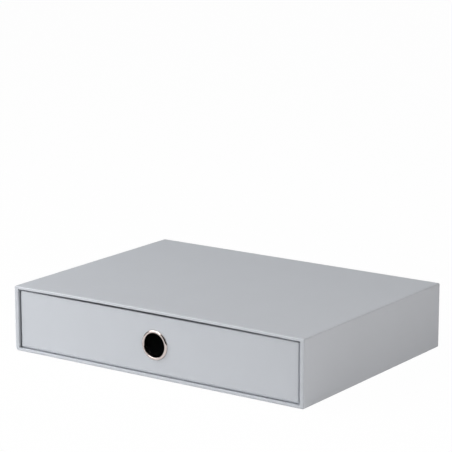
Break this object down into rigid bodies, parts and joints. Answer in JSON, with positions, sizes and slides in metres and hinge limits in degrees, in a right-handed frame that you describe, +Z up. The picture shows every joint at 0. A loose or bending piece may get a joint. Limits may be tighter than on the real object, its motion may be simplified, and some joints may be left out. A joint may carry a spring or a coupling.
{
  "type": "desktop file drawer",
  "caption": "Flat paper-covered board case, open at the front, with one sliding drawer for loose sheets and a metal-ringed finger hole to pull it by.",
  "frame": {"origin": "middle of the underside of the case", "axes": "+X across the front towards the right-hand side as seen from the front, +Y from the open front to the back, +Z up"},
  "size_m": [0.334, 0.245, 0.065],
  "materials": {
    "cover_paper": "matte",
    "lining_paper": "matte",
    "greyboard": "matte",
    "stay_tape": "matte",
    "nickel": "polished"
  },
  "bodies": {
    "case": {"case_bottom_board": "greyboard", "case_left_board": "greyboard", "case_right_board": "greyboard", "case_top_board": "greyboard", "case_back_board": "greyboard", "case_stay_tapes": "stay_tape", "case_cover_paper": "cover_paper", "case_back_paper": "cover_paper", "case_base_paper": "cover_paper", "case_floor_lining": "lining_paper", "case_top_lining": "lining_paper", "case_side_linings": "lining_paper", "case_back_lining": "lining_paper"},
    "drawer": {"drawer_front_board": "greyboard", "drawer_back_board": "greyboard", "drawer_left_board": "greyboard", "drawer_right_board": "greyboard", "drawer_bottom_board": "greyboard", "drawer_stay_tapes": "stay_tape", "drawer_cover_paper": "cover_paper", "drawer_base_paper": "cover_paper", "drawer_floor_lining": "lining_paper", "drawer_wall_linings": "lining_paper", "finger_ring": "nickel", "ring_washer": "nickel"}
  },
  "joints": [
    {"name": "drawer_slide", "type": "slide", "parent": "case", "child": "drawer", "axis": [0, -1, 0], "range_m": [0, 0.227]}
  ]
}
